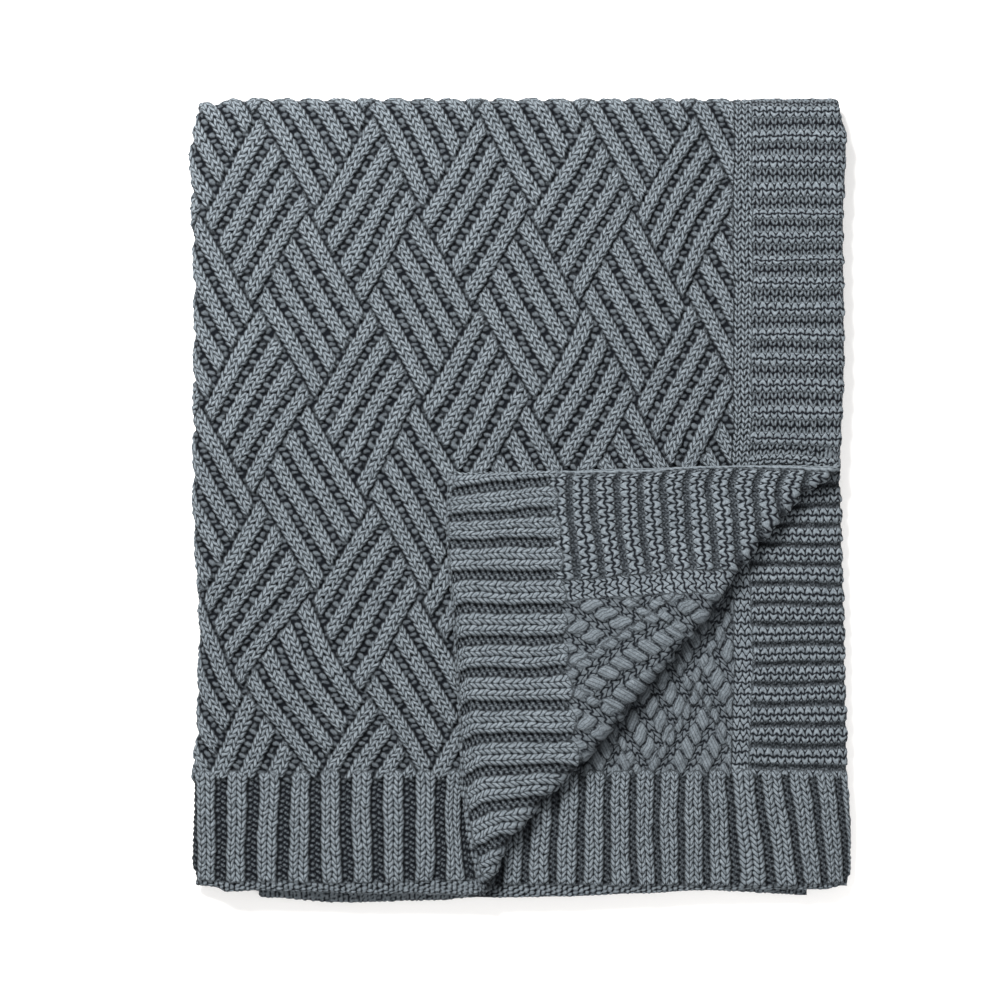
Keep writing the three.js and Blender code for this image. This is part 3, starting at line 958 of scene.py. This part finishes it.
def makeYarn():
    material, shader = makeMaterial("slateCotton", yarn["surface"])
    nodes = material.node_tree.nodes
    links = material.node_tree.links

    def feed(socket, value):
        if isinstance(value, bpy.types.NodeSocket):
            links.new(value, socket)
        else:
            socket.default_value = value

    def calc(operation, *values):
        node = nodes.new("ShaderNodeMath")
        node.operation = operation
        for socket, value in zip(node.inputs, values):
            feed(socket, value)
        return node.outputs["Value"]

    def times(first, second, plus=0):
        return calc("MULTIPLY_ADD", first, second, plus)

    def add(kind, output, inputs, **settings):
        node = nodes.new("ShaderNode" + kind)
        for name, value in settings.items():
            setattr(node, name, value)
        for name, value in inputs.items():
            feed(node.inputs[name], value)
        return node.outputs[output]

    def rampUp(value, low, high):
        limits = {"Value": value, "From Min": low, "From Max": high}
        return add("MapRange", "Result", limits, interpolation_type="SMOOTHSTEP")

    def noise(vector, scale, detail):
        return add("TexNoise", "Fac", {"Vector": vector, "Scale": scale, "Detail": detail})

    def blend(factor, first, second):
        return add("Mix", "Result", {"Factor": factor, "A": first, "B": second}, data_type="RGBA")

    def attribute(name):
        return add("Attribute", "Fac", {}, attribute_name=name)

    place = add("TexCoord", "Object", {})
    stitch = add("UVMap", "UV", {}, uv_map="stitch")
    across, down = (add("SeparateXYZ", name, {"Vector": stitch}) for name in "XY")

    # How far a point is from the middle of its repeat: nothing at the middle, one at the edges.
    def fromMiddle(value):
        return calc("ABSOLUTE", times(calc("FRACT", value), 2, -1))

    # The gap round a strand, which takes painted shade, and its rounded crown, from how far a point is to
    # its side and to its end.
    def squared(side, end, sideGap, endGap):
        gap = calc("MAXIMUM", rampUp(side, *sideGap), rampUp(end, *endGap))
        return gap, calc("SUBTRACT", 1, calc("MAXIMUM", calc("POWER", side, 3), calc("POWER", end, 3)))

    # The same for a strand with rounded ends.
    def oval(side, end, gap):
        away = calc("ADD", calc("POWER", side, 2), calc("POWER", end, 2))
        return rampUp(away, *gap), calc("SUBTRACT", 1, times(away, 0.5))

    # Knit legs climb from the middle of their wale.
    fromWale = calc("ABSOLUTE", calc("SUBTRACT", calc("FRACT", across), 0.5))
    climb = times(fromWale, yarn["legSlope"], 0.5 - yarn["legSlope"] / 4)
    side, end = fromMiddle(calc("ADD", down, climb)), fromMiddle(times(across, 2))
    legGap, legCrown = squared(side, end, yarn["legSideGap"], yarn["legEndGap"])

    # Purl bumps lie in wavy rows, each bump between those above.
    wave = calc("COSINE", times(across, 2 * math.pi))
    rows = times(wave, purls["wave"], times(down, 2))
    moved = times(calc("FLOORED_MODULO", calc("FLOOR", rows), 2), 0.5, across)
    purlGap, purlCrown = oval(fromMiddle(rows), fromMiddle(moved), yarn["purlGap"])

    # Bundles lie aslant across their chain, and the chains are four wales apart, one to a cord.
    onChain = calc("SUBTRACT", calc("FRACT", calc("DIVIDE", across, lattice["cords"])), 0.5)
    lean = times(onChain, times(attribute("bundles"), reverse["slope"]))
    along = times(down, 1 / reverse["apart"], lean)
    end = calc("DIVIDE", calc("ABSOLUTE", onChain), reverse["half"])
    side = calc("DIVIDE", fromMiddle(along), reverse["thick"])
    bundleGap, bundleCrown = oval(side, calc("POWER", end, 2), yarn["bundleGap"])
    count, start, full, dark = yarn["plies"]
    plies = times(rampUp(fromMiddle(times(along, count)), start, full), dark)
    bundleGap = calc("MAXIMUM", bundleGap, plies)

    isBundles = calc("ABSOLUTE", attribute("bundles"))

    def gather(ofLegs, ofPurls, ofBundles):
        found = times(ofPurls, attribute("purls"), times(ofLegs, attribute("legs")))
        return times(ofBundles, isBundles, found)

    def shown(vector, scale, detail, low, high):
        return rampUp(noise(vector, scale, detail), low, high)

    turnsAcross, turnsDown = yarn["streakTurns"]
    onYarn = add("CombineXYZ", "Vector", {"X": times(across, turnsAcross), "Y": times(down, turnsDown)})
    streaks = shown(onYarn, *yarn["streaks"])
    heather = shown(place, *yarn["heather"])
    patches = shown(place, *yarn["patches"])
    shares = yarn["shares"]
    mixed = times(heather, shares["heather"], times(streaks, shares["streaks"]))
    tone = blend(times(patches, shares["patches"], mixed), yarn["dark"], yarn["light"])
    # Painted shade: the colour falls to the crevice shade where the relief is little open to the light,
    # and in the gaps round each strand.
    depth = rampUp(attribute("openness"), *yarn["open"])
    gap = gather(legGap, purlGap, bundleGap)
    lit = times(depth, calc("SUBTRACT", 1, times(gap, yarn["gapShade"])))
    links.new(blend(lit, yarn["creviceShade"], tone), shader.inputs["Base Color"])

    under = {}
    heights = (gather(legCrown, purlCrown, bundleCrown), streaks, noise(place, *yarn["fibres"]))
    for height, depth, strength in zip(heights, yarn["depths"], yarn["bumps"]):
        bump = {"Height": height, "Distance": depth, "Strength": strength}
        under = {"Normal": add("Bump", "Normal", dict(bump, **under))}
    links.new(under["Normal"], shader.inputs["Normal"])
    return material


slateCotton = makeYarn()
print("yarn material ready")

wrapWidth = edgeArc - mesh["edgeRadius"] + 12  # from an edge, round it and back underneath
farEdge = width + wrapWidth
farHem = length + wrapWidth
nearEdge = -sideArc - farEdge  # the free edges of the layers below
lowestHem = -endOuterArc - farHem
thirdHem = -endArc - farHem
innerWidth = wrapWidth + 16

pressed = {
    "corner": 0.25,  # the pattern is pressed flatter by these shares where a layer lies on it,
    "cornerFrom": (240, 348),
    "cornerBlend": 12,
    "crease": 0.3,
    "creaseReach": 14,
    "floor": 0.38,  # and on the floor
    "tucked": 0.3,  # behind its crease, the turned corner's edge must not show through the face
}


def underCorner(p, q):
    fromAcross, fromDown = pressed["cornerFrom"]
    blend = pressed["cornerBlend"]
    return 1 - pressed["corner"] * ease((p - fromAcross) / blend) * ease((q - fromDown) / blend)


def tuckTurned(p, q):
    low = pressed["tucked"]
    return low + (mesh["returnHeight"] - low) * ease((pastCrease(p, q) - 4) / 10)


def underCrease(p, q):
    reach = pressed["creaseReach"]
    return 1 - pressed["crease"] * ease((reach - besideCrease(p, q)) / reach)


def underFold(p, q):
    bottom = ease((-q - 10) / 20)
    sagged = ease((-p - 8) / 8) * ease((q - 600) / 60)
    return 1 - pressed["floor"] * np.maximum(bottom, sagged)


def onFloor(p, q):
    return 1 - pressed["floor"] * ease((p + 18) / 10)


# The turned corner goes on for 22 mm past its crease, and the second layer for 52 mm under the top one.
beforeCrease = (creaseStart, creaseNormal)
pastCreaseCut = (creaseStart - creaseNormal * 22, -creaseNormal)
underNormal = creaseNormal * (-1, 1)
underCut = (creaseStart * (-1, 1) - (sideArc, 0) - underNormal * 52, -underNormal)

top = {"side": 1, "knit": faceKnit, "press": underCorner, "creases": "top"}
fold = {"side": 1, "knit": faceKnit, "press": underFold, "spacing": 1.5}
lowest = {"side": 1, "knit": lowestKnit, "press": onFloor, "down": (lowestHem, -endOuterArc)}
below = {"side": -1, "knit": thirdKnit, "spacing": 2.0}
sheets = [
    dict(top, name="fieldTop", across=(0, 517), down=(0, 190)),
    dict(top, name="fieldMiddle", across=(0, 517), down=(190, 375)),
    dict(top, name="fieldLower", across=(0, 275), down=(375, 643)),
    dict(top, name="sideBorder", across=(517, farEdge), down=(0, 375), cuts=[beforeCrease]),
    dict(top, name="hem", across=(0, 302), down=(643, farHem), cuts=[beforeCrease]),
    dict(fold, name="endFold", across=(0, farEdge), down=(-endOuterArc, 0)),
    dict(fold, name="sideFold", across=(-sideOuterArc - 14, 0), down=(-endOuterArc, farHem)),
    {"name": "turnedCorner", "across": (250, farEdge), "down": (310, farHem), "side": -1,
     "knit": turnedKnit, "cuts": [pastCreaseCut], "area": 118000, "creases": "turned", "tuck": tuckTurned},
    {"name": "underLayer", "across": (nearEdge, -232), "down": (290, farHem), "side": -1,
     "knit": shadedUnderKnit, "cuts": [underCut], "area": 125000, "creases": "under",
     "press": underCrease},
    dict(lowest, name="lowestLayer", across=(0, farEdge), limit=mesh["lowest"], spacing=4.2),
    dict(lowest, name="lowestFold", across=(-sideOuterArc - 14, 0), spacing=2.0),
    dict(below, name="innerEdge", across=(nearEdge, nearEdge + innerWidth), down=(-endArc - 742, 330),
         spacing=2.4),
    dict(below, name="innerHem", across=(-272, -sideArc), down=(739, farHem), knit=underKnit),
    dict(below, name="thirdHem", across=(nearEdge, -sideArc), down=(thirdHem, thirdHem + innerWidth)),
]

total = 0
for piece in sheets:
    total += makeSheet(piece, slateCotton)
print("cloth made,", total, "triangles in all")

room = {
    "floor": {"name": "floor", "across": (-3, 3), "down": (-3, 3), "spacing": 6},
    # The paper is lit from below too, so that it shows hardly any shadow.
    "paper": {"Base Color": (0.90, 0.885, 0.87, 1), "Roughness": 0.95, "Specular IOR Level": 0.1,
              "Emission Color": (1, 1, 1, 1), "Emission Strength": 0.20},
    "cameraPlace": (-0.0209, -0.0005, 2.6),
    "clothTop": 0.03,  # the frame's width is measured at this height
    "frameWidth": 0.966,
    "sensor": 36,
    "world": 0.48,
}

floor = addObject("floor", makeGrid(room["floor"]))
floor.data.materials.append(makeMaterial("paper", room["paper"])[0])

camera = addObject("camera", bpy.data.cameras.new("camera"))
bpy.context.scene.camera = camera
camera.location = room["cameraPlace"]
camera.data.sensor_width = room["sensor"]
camera.data.lens = room["sensor"] * (room["cameraPlace"][2] - room["clothTop"]) / room["frameWidth"]

lights = [
    {"name": "keyLight", "place": (-0.8, 1.5, 1.6), "size": 0.8, "power": 126},
    {"name": "fillLight", "place": (0.9, -1.6, 2.1), "size": 2.4, "power": 42},
]
for light in lights:
    data = bpy.data.lights.new(light["name"], "AREA")
    data.shape = "DISK"
    data.size = light["size"]
    data.energy = light["power"]
    lamp = addObject(light["name"], data)
    lamp.location = light["place"]
    lamp.rotation_euler = (-Vector(light["place"])).to_track_quat("-Z", "Y").to_euler()

world = bpy.data.worlds.new("studio")
world.use_nodes = True
sky = world.node_tree.nodes["Background"]
sky.inputs["Color"].default_value = (1, 1, 1, 1)
sky.inputs["Strength"].default_value = room["world"]
bpy.context.scene.world = world
bpy.context.scene.view_settings.view_transform = "Standard"
print("studio ready")
